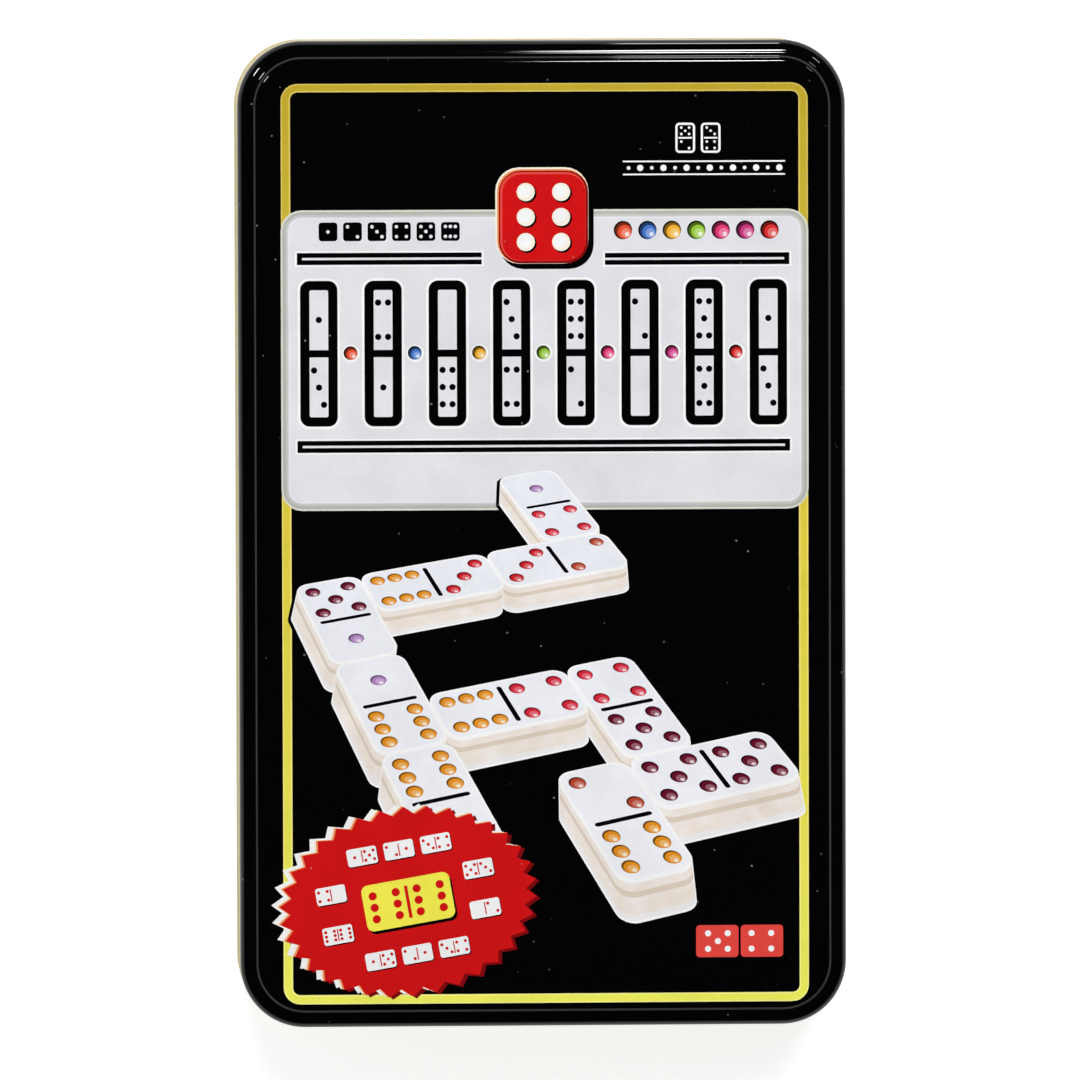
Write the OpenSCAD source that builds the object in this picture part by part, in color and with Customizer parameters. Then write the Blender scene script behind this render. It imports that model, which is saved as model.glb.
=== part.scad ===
// Flat tin with a lift-off lid that stores a double-six set of dominoes.
// It lies on its base: +Z up, long side along Y, origin under the middle of the base.
// The tin is sized from what it holds: tiles, then the moulded tray, then the tin.

/* [Tiles] */
// Length of a tile, across the tin
tile_l = 48; // [42:0.5:58]
// Width of a tile, along the tin
tile_w = 24; // [21:0.5:30]
// Thickness of a tile
tile_t = 10; // [7:0.5:13]
// Radius of a tile's four upright corners
tile_corner_r = 3; // [2.2:0.1:5]
// Radius round a tile's faces
tile_edge_r = 1.2; // [0.6:0.1:2]
// Diameter of a spot at the face
spot_d = 4.4; // [3:0.1:5]
// Depth of a spot
spot_depth = 0.6; // [0.3:0.05:0.9]
// Distance between neighbouring spots
spot_pitch = 6.6; // [5.5:0.1:6.8]
// Width of the groove between a tile's two halves
groove_w = 1.2; // [0.6:0.1:2]
// Depth of that groove
groove_depth = 0.5; // [0.2:0.05:0.9]
// Distance from the groove's ends to the tile's sides
groove_margin = 2.5; // [1.5:0.1:5]

/* [Tray] */
// Thickness of the moulded plastic sheet
tray_t = 0.5; // [0.3:0.05:0.8]
// Width of the rib between the two troughs, at their floor
rib_w = 6.2; // [5:0.1:14]
// From a trough to the tray's long side, at the trough's floor
side_margin = 3.2; // [2.8:0.1:8]
// From a trough to the tray's short side, at the trough's floor
end_margin = 6.4; // [5.6:0.1:12]
// How far the troughs' walls lean outwards, in degrees
trough_draft = 2; // [1:0.25:3]
// Radius between a trough's wall and its floor
trough_floor_r = 1; // [0.5:0.1:1.4]
// How far the upper tiles stand out of their trough
tile_proud = 2.2; // [1:0.1:5]
// Height of the tray's turned-down edge
tray_skirt_h = 5; // [3:0.5:12]
// Radius of the tray's edge
tray_edge_r = 1; // [0.8:0.1:1.5]
// Radius of the finger scoops at the troughs' ends
scoop_r = 10; // [8:0.5:13]
// Depth of the finger scoops and the notch
scoop_h = 10; // [6:0.5:13]
// Radius of the finger notch through the rib
notch_r = 11; // [8:0.5:14]

/* [Tin] */
// Thickness of the tinplate
plate_t = 0.3; // [0.2:0.02:0.4]
// Radius of the tin's upright corners
tin_corner_r = 12.5; // [10:0.5:18]
// Room between the upper tiles and the lid's panel
head_room = 5.7; // [4:0.1:12]
// Radius of the curl round the base's rim
rim_r = 0.8; // [0.6:0.05:1.2]
// Height of the slope from the base's wall in to its neck
neck_slope_h = 1.6; // [1.5:0.1:3]
// Radius of the base's bottom edge
foot_r = 2; // [1:0.1:3]
// Width of the flat ring that the base stands on
foot_w = 1.2; // [0.8:0.1:4]
// Rise of the bottom panel above that ring
foot_h = 0.8; // [0.4:0.1:1.5]
// Width of the slope from the ring up to the panel
foot_slope_w = 1.6; // [1.2:0.1:3]

/* [Lid] */
// Height of the lid's lower edge above the table
lid_edge_z = 12; // [8:0.5:16]
// Radius of the hem that stiffens the lid's lower edge
hem_r = 0.5; // [0.45:0.01:0.7]
// Radius of the lid's outer shoulder
shoulder_r = 2; // [1.4:0.1:3]
// Width of the ledge round the raised panel
ledge_w = 0.5; // [0.2:0.1:2]
// Rise of the panel above the ledge
step_h = 1; // [0.6:0.1:1.4]
// Width of the slope from the ledge up to the panel
step_w = 1.8; // [1.5:0.1:3]

/* [Leaflet] */
// Width of the folded leaflet
leaflet_w = 74; // [50:1:95]
// Length of the leaflet
leaflet_l = 105; // [60:1:160]
// Thickness of its paper
paper_t = 0.12; // [0.08:0.01:0.16]
// Inner radius of its folds
fold_r = 0.1; // [0.06:0.01:0.14]

/* [Clearances] */
// Between the lid's hem and the base's neck
lid_clear = 0.3; // [0.15:0.05:0.5]
// Between the tray and the curl round the rim
tray_clear = 0.3; // [0.2:0.05:1]
// Between a row of tiles and the trough's walls, at the floor
tile_play = 0.5; // [0.3:0.05:1.5]
// Between neighbouring tiles of a row
tile_gap = 0.3; // [0.15:0.05:1]
// Under a metal or plastic piece that rests on another
seat_gap = 0.2; // [0.1:0.05:0.3]
// Under a tile or the leaflet
stack_gap = 0.1; // [0.05:0.05:0.3]
// Between a scoop's wall and the tray's turned-down edge
scoop_web = 0.4; // [0.3:0.1:1]

/* [Hidden] */
$fn = 64;
top_number = 6;      // most spots on a half
rows = 2;            // troughs side by side
columns = 7;         // tiles along a trough
layers = 2;          // tiles on top of each other
leaflet_panels = 4;  // panels of the folded leaflet
hem_turn = 240;      // how far the lid's hem curls, in degrees
rim_turn = 280;      // how far the rim's curl goes round, in degrees
cut = 1;             // how far a cutter reaches past the face it opens
s_steps = 6;         // flats in each half of an S-bend

// Base, from the table up
floor_z = foot_h + plate_t;
neck_inset = 2 * hem_r + lid_clear;
hem_z = lid_edge_z + hem_r;

// Tray, from the base's floor up
tray_z = floor_z + seat_gap;
trough_z = tray_z + tray_t;
trough_w = tile_l + 2 * tile_play;
trough_l = columns * tile_w + (columns - 1) * tile_gap + 2 * tile_play;
trough_r = tile_corner_r;
trough_x = (rib_w + trough_w) / 2;
tray_w = rows * trough_w + rib_w + 2 * side_margin;
tray_l = trough_l + 2 * end_margin;

// Tiles in the tray
tile_z = trough_z + stack_gap;
layer_pitch = tile_t + stack_gap;
tile_top_z = tile_z + (layers - 1) * layer_pitch + tile_t;
spot_r = (spot_d * spot_d / 4 + spot_depth * spot_depth) / (2 * spot_depth);

tray_top_z = tile_top_z - tile_proud;
scoop_z = tray_top_z - scoop_h;
scoop_reach = end_margin - 2 * tray_t - scoop_web;
leaflet_z = tile_top_z + stack_gap;

// Tin round the tray
tray_inset = neck_inset + 2 * rim_r + tray_clear;
tin_w = tray_w + 2 * tray_inset;
tin_l = tray_l + 2 * tray_inset;
tin_h = tile_top_z + head_room + plate_t;
tray_corner_r = tin_corner_r - tray_inset;

// The rim's curl lies just under the lid's ledge, or under its shoulder where that is wider
rim_inset = neck_inset + rim_r;
ledge_z = tin_h - step_h;
under_ledge_z = ledge_z - plate_t - seat_gap - rim_r;
shoulder_room = shoulder_r - plate_t - seat_gap - rim_r;
past_shoulder = max(shoulder_r - rim_inset, 0);
rim_z = past_shoulder == 0 ? under_ledge_z
      : ledge_z - shoulder_r + sqrt(pow(shoulder_room, 2) - pow(past_shoulder, 2));

// ---- Sheet profiles: a to b is the outer face, and the sheet lies to its right ----

// A straight run
module run(t, a, b) {
    inward = t * [b[1] - a[1], a[0] - b[0]] / norm(b - a);
    polygon([a, b, b + inward, a + inward]);
}

// A bend round centre c, with the outer face at radius r
module bend(t, c, r, from, sweep) {
    translate(c) intersection() {
        difference() {
            circle(r);
            circle(r - t);
        }
        polygon(concat([[0, 0]], [for (k = [0:4])
            2 * r * [cos(from + k * sweep / 4), sin(from + k * sweep / 4)]]));
    }
}

// Places on an S-bend of two equal arcs that leaves p = [x, z, heading] and ends parallel
// to it, ahead by w and to the left by h
function s_poses(p, w, h) =
    let (turn = 2 * atan(h / w), r = w / (2 * sin(abs(turn))))
    concat([for (k = [0:s_steps]) arc_pose(p, r, turn * k / s_steps)],
           [for (k = [1:s_steps]) arc_pose(arc_pose(p, r, turn), r, -turn * k / s_steps)]);

function arc_pose(p, r, turn) =
    let (side = turn < 0 ? -1 : 1, h = p[2], e = p[2] + turn)
    [p[0] + side * r * (sin(e) - sin(h)), p[1] + side * r * (cos(h) - cos(e)), e];

module s_bend(t, p, w, h) {
    poses = s_poses(p, w, h);
    last = len(poses) - 1;
    polygon(concat([for (q = poses) [q[0], q[1]]],
                   [for (k = [last:-1:0]) let (q = poses[k])
                       [q[0] + t * sin(q[2]), q[1] - t * cos(q[2])]]));
}

// ---- Forms on a rounded rectangle ----

module rounded_rect(w, l, r) {
    square([w - 2 * r, l], center = true);
    square([w, l - 2 * r], center = true);
    for (x = [-1, 1]) for (y = [-1, 1])
        translate([x * (w / 2 - r), y * (l / 2 - r)]) circle(r);
}

// Carries a profile round a rounded rectangle; x = 0 is the corner's centre, x = r the side
module round_rect_sweep(w, l, r) {
    for (k = [0:3]) {
        across = (k % 2 == 0 ? w : l) / 2 - r;
        run = (k % 2 == 0 ? l : w) / 2 - r;
        rotate(90 * k) translate([across, run, 0]) {
            rotate_extrude(angle = 90) children();
            rotate([90, 0, 0]) linear_extrude(2 * run) children();
        }
    }
}

// A solid whose side is the profile, with its top and bottom at z0 and z1
module round_rect_solid(w, l, r, z0, z1) {
    round_rect_sweep(w, l, r) children();
    translate([r - w / 2, r - l / 2, z0]) cube([w - 2 * r, l - 2 * r, z1 - z0]);
}

// ---- Tiles ----

function tile_name(a, b) = str("tile_", a, "_", b);

// Place in the set, from 0 for the double blank to 27 for the double six
function tile_number(a, b) = a * (top_number + 1) - a * (a - 1) / 2 + b - a;

function spots(n) = concat(
    n % 2 == 1 ? [[0, 0]] : [],
    n >= 2 ? [[-1, 1], [1, -1]] : [],
    n >= 4 ? [[1, 1], [-1, -1]] : [],
    n >= 6 ? [[0, 1], [0, -1]] : []);

module tile_side() {
    e = tile_edge_r;
    r = tile_corner_r;
    square([r - e, tile_t]);
    translate([0, e]) square([r, tile_t - 2 * e]);
    for (z = [e, tile_t - e])
        translate([r - e, z]) intersection() {
            circle(e);
            translate([0, -e]) square([e, 2 * e]);
        }
}

module tile(a, b) {
    color("ivory") difference() {
        round_rect_solid(tile_l, tile_w, tile_corner_r, 0, tile_t) tile_side();
        for (half = [[-1, a], [1, b]]) for (s = spots(half[1]))
            translate([half[0] * tile_l / 4 + s[0] * spot_pitch, s[1] * spot_pitch,
                       tile_t - spot_depth + spot_r]) sphere(spot_r);
        translate([0, 0, tile_t - groove_depth]) linear_extrude(groove_depth + cut) {
            square([groove_w, tile_w - 2 * groove_margin - groove_w], center = true);
            for (y = [-1, 1])
                translate([0, y * (tile_w / 2 - groove_margin - groove_w / 2)])
                    circle(groove_w / 2);
        }
    }
}

module tile_in_tray(a, b) {
    n = tile_number(a, b);
    column = n % columns;
    row = floor(n / columns) % rows;
    layer = floor(n / (columns * rows));
    translate([(2 * row - 1) * trough_x,
               (column - (columns - 1) / 2) * (tile_w + tile_gap),
               tile_z + layer * layer_pitch]) tile(a, b);
}

// ---- Tray ----

// A trough's side from its floor at z0 up to the tray's top, grown outwards by t
module trough_side(t, rise) {
    r = trough_r + t;
    f = trough_floor_r + t;
    z0 = trough_z - t;
    z1 = tray_top_z + rise;
    lean = tan(trough_draft) * (z1 - z0 - f);
    polygon([[0, z0], [r - f, z0], [r, z0 + f], [r + lean, z1], [0, z1]]);
    translate([r - f, z0 + f]) intersection() {
        circle(f);
        translate([0, -f]) square(f);
    }
}

module troughs(t, rise) {
    for (x = [-1, 1]) translate([x * trough_x, 0, 0])
        round_rect_solid(trough_w + 2 * t, trough_l + 2 * t, trough_r + t,
                         trough_z - t, tray_top_z + rise) trough_side(t, rise);
}

module finger_scoops(t, rise) {
    h = scoop_h + t + rise;
    for (x = [-1, 1]) for (y = [-1, 1])
        translate([x * trough_x, y * (trough_l / 2 + scoop_reach - scoop_r), scoop_z - t])
            cylinder(h = h, r = scoop_r + t);
    translate([0, 0, scoop_z - t]) cylinder(h = h, r = notch_r + t);
}

module tray_flange() {
    x = tray_corner_r;
    x1 = x - tray_edge_r;
    z1 = tray_top_z - tray_edge_r;
    round_rect_sweep(tray_w, tray_l, tray_corner_r) {
        union() {
            bend(tray_t, [x1, z1], tray_edge_r, 90, -90);
            run(tray_t, [x, z1], [x, tray_top_z - tray_skirt_h]);
        }
    }
    translate([0, 0, tray_top_z - tray_t]) linear_extrude(tray_t)
        rounded_rect(tray_w - 2 * tray_edge_r, tray_l - 2 * tray_edge_r, x1);
}

module tray() {
    color("dimgray") difference() {
        union() {
            tray_flange();
            troughs(tray_t, 0);
            finger_scoops(tray_t, 0);
        }
        troughs(0, cut);
        finger_scoops(0, cut);
    }
}

// ---- Tin ----

// Centre plate of a pan whose corners' profile ends at x, with its lower face at z
module pan_plate(x, z) {
    inset = tin_corner_r - x;
    translate([0, 0, z]) linear_extrude(plate_t)
        rounded_rect(tin_w - 2 * inset, tin_l - 2 * inset, x);
}

module base_tin() {
    wall_x = tin_corner_r;
    neck_x = wall_x - neck_inset;
    foot_x = wall_x - foot_r;
    ring_x = foot_x - foot_w;
    color("goldenrod") {
        round_rect_sweep(tin_w, tin_l, tin_corner_r) {
            union() {
                bend(plate_t, [neck_x - rim_r, rim_z], rim_r, 0, rim_turn);
                run(plate_t, [neck_x, rim_z], [neck_x, hem_z]);
                s_bend(plate_t, [neck_x, hem_z, -90], neck_slope_h, neck_inset);
                run(plate_t, [wall_x, hem_z - neck_slope_h], [wall_x, foot_r]);
                bend(plate_t, [foot_x, foot_r], foot_r, 0, -90);
                run(plate_t, [foot_x, 0], [ring_x, 0]);
                s_bend(plate_t, [ring_x, 0, 180], foot_slope_w, -foot_h);
            }
        }
        pan_plate(ring_x - foot_slope_w, foot_h);
    }
}

module lid() {
    wall_x = tin_corner_r;
    ledge_x = wall_x - shoulder_r - ledge_w;
    shoulder_x = wall_x - shoulder_r;
    panel_x = ledge_x - step_w;
    color("black") {
        round_rect_sweep(tin_w, tin_l, tin_corner_r) {
            union() {
                s_bend(plate_t, [panel_x, tin_h, 0], step_w, -step_h);
                run(plate_t, [ledge_x, ledge_z], [shoulder_x, ledge_z]);
                bend(plate_t, [shoulder_x, ledge_z - shoulder_r], shoulder_r, 90, -90);
                run(plate_t, [wall_x, ledge_z - shoulder_r], [wall_x, hem_z]);
                bend(plate_t, [wall_x - hem_r, hem_z], hem_r, 0, -hem_turn);
            }
        }
        pan_plate(panel_x, tin_h - plate_t);
    }
}

// ---- Leaflet ----

// Panels lie on each other, joined by half-round folds at alternate sides
module leaflet() {
    r = fold_r + paper_t;
    pitch = paper_t + 2 * fold_r;
    color("white") translate([0, leaflet_l / 2, leaflet_z]) rotate([90, 0, 0])
        linear_extrude(leaflet_l) {
            for (k = [0:leaflet_panels - 1])
                translate([-leaflet_w / 2, k * pitch]) square([leaflet_w, paper_t]);
            for (k = [0:leaflet_panels - 2]) {
                side = k % 2 == 0 ? 1 : -1;
                bend(paper_t, [side * leaflet_w / 2, k * pitch + r], r, -90, side * 180);
            }
        }
}

base_tin();
lid();
tray();
leaflet();
for (a = [0:top_number]) for (b = [a:top_number])
    tile_in_tray(a, b);
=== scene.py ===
"""Looks of the domino tin: lacquered sheet metal, the lid's print, the tray, the tiles and the leaflet."""

import math

import bmesh
import bpy
from mathutils import Euler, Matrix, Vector, geometry


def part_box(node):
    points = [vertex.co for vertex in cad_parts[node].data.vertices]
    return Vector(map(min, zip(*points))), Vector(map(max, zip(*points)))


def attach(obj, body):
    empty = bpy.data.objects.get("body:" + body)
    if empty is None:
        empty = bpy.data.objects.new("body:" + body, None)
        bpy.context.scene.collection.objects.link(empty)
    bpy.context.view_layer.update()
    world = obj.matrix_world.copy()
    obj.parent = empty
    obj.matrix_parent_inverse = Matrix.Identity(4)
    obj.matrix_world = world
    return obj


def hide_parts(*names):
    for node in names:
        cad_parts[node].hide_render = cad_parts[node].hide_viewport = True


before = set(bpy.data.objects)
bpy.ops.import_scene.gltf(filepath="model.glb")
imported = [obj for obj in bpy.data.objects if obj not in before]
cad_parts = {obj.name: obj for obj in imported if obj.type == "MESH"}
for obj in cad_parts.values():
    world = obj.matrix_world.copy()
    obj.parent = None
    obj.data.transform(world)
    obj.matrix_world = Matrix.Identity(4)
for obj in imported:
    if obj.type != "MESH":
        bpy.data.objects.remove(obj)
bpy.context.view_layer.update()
MM = 0.001

# ---- Sizes, in millimetres, the same as the construction's but for the shoulder and the ledge ----
PLATE = 0.3            # thickness of the tinplate
CORNER = 12.5          # radius of the tin's upright corners
SHOULDER = 2.3         # radius of the lid's outer shoulder, 2.0 in the construction
LEDGE = 0.05           # width of the ledge round the raised panel, 0.5 in the construction
STEP_H = 1.0           # rise of the panel above the ledge
STEP_W = 1.8           # width of the slope up to the panel
HEM = 0.5              # radius of the hem on the lid's edge
HEM_TURN = 240         # how far the hem curls, in degrees
LID_CLEAR = 0.3        # between hem and neck
RIM = 0.8              # radius of the curl round the base's rim
RIM_TURN = 280         # how far it curls, in degrees
NECK_SLOPE = 1.6       # height of the slope in to the neck
FOOT = 2.0             # radius of the base's bottom edge
FOOT_W = 1.2           # width of the ring that the base stands on
FOOT_H = 0.8           # rise of the bottom panel above the ring
FOOT_SLOPE = 1.6       # width of the slope up to the bottom panel
SPOT_D = 4.4           # width of a tile's spots
SPOT_PITCH = 6.6       # from one spot to the next
GROOVE_W = 1.2         # the groove between a tile's halves

lid_low, lid_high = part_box("lid")
TIN_W = (lid_high.x - lid_low.x) / MM
TIN_L = (lid_high.y - lid_low.y) / MM
TOP = lid_high.z / MM
HEM_Z = lid_low.z / MM + HEM                  # height of the hem's middle
RIM_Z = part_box("base_tin")[1].z / MM - RIM    # height of the rim's middle
LEDGE_Z = TOP - STEP_H
NECK_X = CORNER - 2 * HEM - LID_CLEAR         # the neck's place, where CORNER is the side's


# ---- Materials ----

MIX_A, MIX_B, MIX_OUT = 6, 7, 2   # the Mix node's colour sockets
PAPER = (240, 238, 230)


def srgb(*levels):
    """A colour as a picture editor gives it, 0 to 255, turned into linear light."""
    return tuple(v / 12.92 if v <= 0.04045 else ((v + 0.055) / 1.055) ** 2.4
                 for v in (x / 255 for x in levels))


SCRATCH_GREY = srgb(150, 150, 155)
DUST_GREY = srgb(186, 184, 180)


class Nodes:
    """A new material and short calls for building its shader."""

    def __init__(self, name):
        self.material = bpy.data.materials.new(name)
        self.material.use_nodes = True
        self.tree = self.material.node_tree
        self.shader = next(n for n in self.tree.nodes if n.type == "BSDF_PRINCIPLED")
        self.place = self.add("ShaderNodeTexCoord").outputs["Object"]

    def add(self, kind, **values):
        node = self.tree.nodes.new(kind)
        for key, value in values.items():
            if hasattr(node, key):
                setattr(node, key, value)
            else:
                self.put(node.inputs[key], value)
        return node

    def put(self, socket, value):
        if isinstance(value, bpy.types.NodeSocket):
            self.tree.links.new(value, socket)
        else:
            socket.default_value = value

    def set(self, **values):
        for key, value in values.items():
            self.put(self.shader.inputs[key.replace("_", " ")], value)

    def stretched(self, x, y, z, turn=0.0):
        """The place with its axes scaled by x, y and z, after a turn in degrees."""
        node = self.add("ShaderNodeMapping", vector_type="TEXTURE", Scale=(1 / x, 1 / y, 1 / z),
                        Rotation=(0, 0, math.radians(turn)))
        self.put(node.inputs["Vector"], self.place)
        return node.outputs[0]

    def noise(self, per_mm, detail=3.0, rough=0.55, where=None):
        """Noise with so many features to the millimetre."""
        node = self.add("ShaderNodeTexNoise", Scale=per_mm / MM, Detail=detail, Roughness=rough)
        self.put(node.inputs["Vector"], where or self.place)
        return node.outputs["Fac"]

    def math(self, operation, a, b=0.0):
        node = self.add("ShaderNodeMath", operation=operation)
        self.put(node.inputs[0], a)
        self.put(node.inputs[1], b)
        return node.outputs[0]

    def spread(self, value, low_in, high_in, low_out=0.0, high_out=1.0):
        """The value's range from low_in to high_in carried over to low_out to high_out."""
        node = self.add("ShaderNodeMapRange")
        for socket, number in zip(node.inputs, (value, low_in, high_in, low_out, high_out)):
            self.put(socket, number)
        return node.outputs[0]

    def mix(self, share, a, b):
        node = self.add("ShaderNodeMix", data_type="RGBA")
        self.put(node.inputs[0], share)
        for socket, colour in ((MIX_A, a), (MIX_B, b)):
            linked = isinstance(colour, bpy.types.NodeSocket)
            self.put(node.inputs[socket], colour if linked else (*colour, 1))
        return node.outputs[MIX_OUT]

    def axis(self, name):
        node = self.add("ShaderNodeSeparateXYZ")
        self.put(node.inputs[0], self.place)
        return node.outputs[name]

    def bump(self, height, strength, distance_mm, onto=None):
        node = self.add("ShaderNodeBump", Strength=strength, Distance=distance_mm * MM)
        self.put(node.inputs["Height"], height)
        if onto is not None:
            self.put(node.inputs["Normal"], onto)
        return node.outputs[0]

    def dust(self):
        """Where fine dust lies, from 0 to 1: small specks that gather in patches."""
        speck = self.add("ShaderNodeTexVoronoi", Scale=0.28 / MM)
        self.put(speck.inputs["Vector"], self.place)
        small = self.spread(speck.outputs["Distance"], 0.035, 0.065, 1.0, 0.0)
        return self.math("MULTIPLY", small, self.spread(self.noise(0.2), 0.45, 0.62))

    def hairlines(self, turn):
        """Short thin scratches lying one way, from 0 to 1."""
        line = self.noise(0.8, 2.0, 0.5, self.stretched(1, 0.1, 1, turn))
        return self.spread(line, 0.82, 0.85)


def glossy_sheet(name, colour):
    """Printed or lacquered colour under clear varnish: slight orange peel, dust specks and fine hairlines.
    colour is three numbers in linear light, or a function that builds it from the nodes."""
    n = Nodes(name)
    base = colour(n) if callable(colour) else n.mix(0.0, colour, colour)
    lines = n.math("MAXIMUM", n.hairlines(24), n.hairlines(-61))
    cloud = n.spread(n.noise(0.12, 4.0), 0.35, 0.65, 0.96, 1.03)
    thin = n.add("ShaderNodeHueSaturation", Color=base, Value=cloud)
    worn = n.mix(n.math("MULTIPLY", lines, 0.25), thin.outputs[0], SCRATCH_GREY)
    n.set(Base_Color=n.mix(n.math("MULTIPLY", n.dust(), 0.5), worn, DUST_GREY))
    n.set(Roughness=0.5, Specular_IOR_Level=0.0, Coat_Weight=0.7, Coat_Roughness=0.03, Coat_IOR=1.38)
    peel = n.bump(n.noise(0.5, 1.0), 0.04, 0.02)
    n.set(Normal=n.bump(lines, 0.1, 0.003, peel))
    return n.material


def gold_lacquer(name, bright):
    """Transparent gold lacquer over tinplate, with the faint rolling lines of the sheet. bright scales its
    colour; below 1 it is painted shade.
    """
    n = Nodes(name)
    rolling = n.noise(0.5, 2.0, 0.5, n.stretched(1, 1, 10))
    share = n.math("MULTIPLY", n.math("ADD", rolling, n.noise(0.04, 2.0)), 0.5)
    deep = tuple(c * bright for c in srgb(143, 129, 57))
    pale = tuple(c * bright for c in srgb(186, 172, 94))
    n.set(Base_Color=n.mix(share, deep, pale), Metallic=0.9, Specular_Tint=(*pale, 1), Specular_IOR_Level=0.2)
    n.set(Roughness=n.spread(rolling, 0.3, 0.7, 0.25, 0.275), Coat_Weight=0.1, Coat_Roughness=0.1)
    n.set(Normal=n.bump(rolling, 0.03, 0.01))
    return n.material


def tile_plastic(name, colour):
    """Polished moulded plastic, a little milky, with faint swirls and handling marks."""
    n = Nodes(name)
    cloud = n.noise(0.07, 3.0)
    darker = tuple(c * 0.93 for c in colour)
    n.set(Base_Color=n.mix(n.spread(cloud, 0.35, 0.65), darker, colour))
    n.set(Roughness=n.spread(n.noise(0.25), 0.3, 0.7, 0.16, 0.28))
    n.set(Subsurface_Weight=0.12, Subsurface_Scale=0.002, Coat_Weight=0.3, Coat_Roughness=0.08)
    marks = n.math("MAXIMUM", n.hairlines(40), n.hairlines(-20))
    n.set(Normal=n.bump(marks, 0.12, 0.003, n.bump(n.noise(0.8, 2.0), 0.06, 0.01)))
    return n.material


def spot_paint(name, colour):
    """Thick glossy paint in a tile's spot or groove."""
    n = Nodes(name)
    darker = tuple(c * 0.75 for c in colour)
    n.set(Base_Color=n.mix(n.spread(n.noise(0.9, 2.0), 0.3, 0.7), darker, colour))
    n.set(Roughness=0.3, Coat_Weight=0.8, Coat_Roughness=0.1, Normal=n.bump(n.noise(1.2, 2.0), 0.2, 0.02))
    return n.material


def formed_plastic(name):
    """Thin black sheet drawn over a mould: satin gloss with a faint pebble and paler scuffs."""
    n = Nodes(name)
    scuff = n.math("MAXIMUM", n.hairlines(75), n.hairlines(5))
    n.set(Base_Color=n.mix(n.math("MULTIPLY", scuff, 0.3), srgb(16, 16, 18), srgb(110, 110, 112)))
    n.set(Roughness=n.spread(n.noise(0.12), 0.3, 0.7, 0.3, 0.38), Specular_IOR_Level=0.35)
    pebble = n.bump(n.noise(1.6, 3.0), 0.08, 0.015)
    n.set(Normal=n.bump(n.noise(0.03, 1.0), 0.12, 0.2, pebble))
    return n.material


def paper(name, colour=PAPER):
    """Uncoated paper, bare or inked, with faint fibres and soft waves."""
    n = Nodes(name)
    fibre = n.noise(3.0, 5.0, 0.7)
    plain = srgb(*colour)
    darker = tuple(c * 0.9 for c in plain)
    n.set(Base_Color=n.mix(n.spread(fibre, 0.3, 0.7), darker, plain))
    waves = n.bump(n.noise(0.03, 1.0), 0.3, 0.5)
    n.set(Roughness=0.85, Sheen_Weight=0.05, Normal=n.bump(fibre, 0.25, 0.02, waves))
    return n.material


# ---- Sheet metal pans ----

def arc(centre, radius, start, sweep, steps):
    """Points on a bend, from start by sweep, in degrees."""
    angles = [math.radians(start + sweep * k / steps) for k in range(steps + 1)]
    return [(centre[0] + radius * math.cos(a), centre[1] + radius * math.sin(a)) for a in angles]


def s_bend(across, rise, steps=8):
    """Points from (0, 0) to (across, rise) on an S of two equal arcs that starts and ends level."""
    turn = 2 * math.atan(rise / across)
    radius = across / (2 * math.sin(turn))
    first = [(radius * math.sin(turn * k / steps), radius * (1 - math.cos(turn * k / steps)))
             for k in range(steps + 1)]
    return first + [(across - x, rise - y) for x, y in reversed(first[:-1])]


LONG_RUN = 1.0         # straight runs over this length get a point near each end, in millimetres
BESIDE_END = 0.2       # from the end to that point
SAME_POINT = 1e-4      # points closer than this are one


def profile(*runs):
    """One line from several, with a point close to each end of every long straight run, so that the
    shading of a flat stays flat."""
    line = []
    for p in (p for run in runs for p in run):
        gap = math.dist(line[-1], p) if line else 0
        if line and gap < SAME_POINT:
            continue
        if gap > LONG_RUN:
            a = line[-1]
            line += [(a[0] + (p[0] - a[0]) * t, a[1] + (p[1] - a[1]) * t)
                     for t in (BESIDE_END / gap, 1 - BESIDE_END / gap)]
        line.append(p)
    return line


def moved_right(line, thickness):
    """The line moved by thickness to its right."""
    out = []
    for k, p in enumerate(line):
        before = Vector(p) - Vector(line[k - 1]) if k else Vector(line[1]) - Vector(p)
        after = Vector(line[k + 1]) - Vector(p) if k < len(line) - 1 else before
        along = (before.normalized() + after.normalized()).normalized()
        reach = thickness / max(0.5, along.dot(before.normalized()))
        out.append((p[0] + reach * along.y, p[1] - reach * along.x))
    return out


CORNER_STEPS = 20
BESIDE_CORNER = 0.4    # from a corner's end to the next point on the straight side, in millimetres
FLAT_BESIDE_STEP = 1.5 # from a pan's step to the edge of its middle plate
SHARP_BEND = 40        # degrees over which a bend in the metal shades sharp
SHARP_EDGE = 35        # and an edge of the contents


def ring_of(x, z):
    """The points at one place of a profile carried round the tin. x = CORNER is the side."""
    points = []
    for quadrant in range(4):
        turn = math.radians(90 * quadrant)
        across, along = (TIN_W, TIN_L) if quadrant % 2 == 0 else (TIN_L, TIN_W)
        corner = [(across / 2 - CORNER + x, along / 2 - CORNER - BESIDE_CORNER)]
        corner += arc((across / 2 - CORNER, along / 2 - CORNER), x, 0, 90, CORNER_STEPS)
        corner += [(across / 2 - CORNER - BESIDE_CORNER, along / 2 - CORNER + x)]
        for u, v in corner:
            points.append(Vector((u * math.cos(turn) - v * math.sin(turn),
                                  u * math.sin(turn) + v * math.cos(turn), z)) * MM)
    return points


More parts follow.
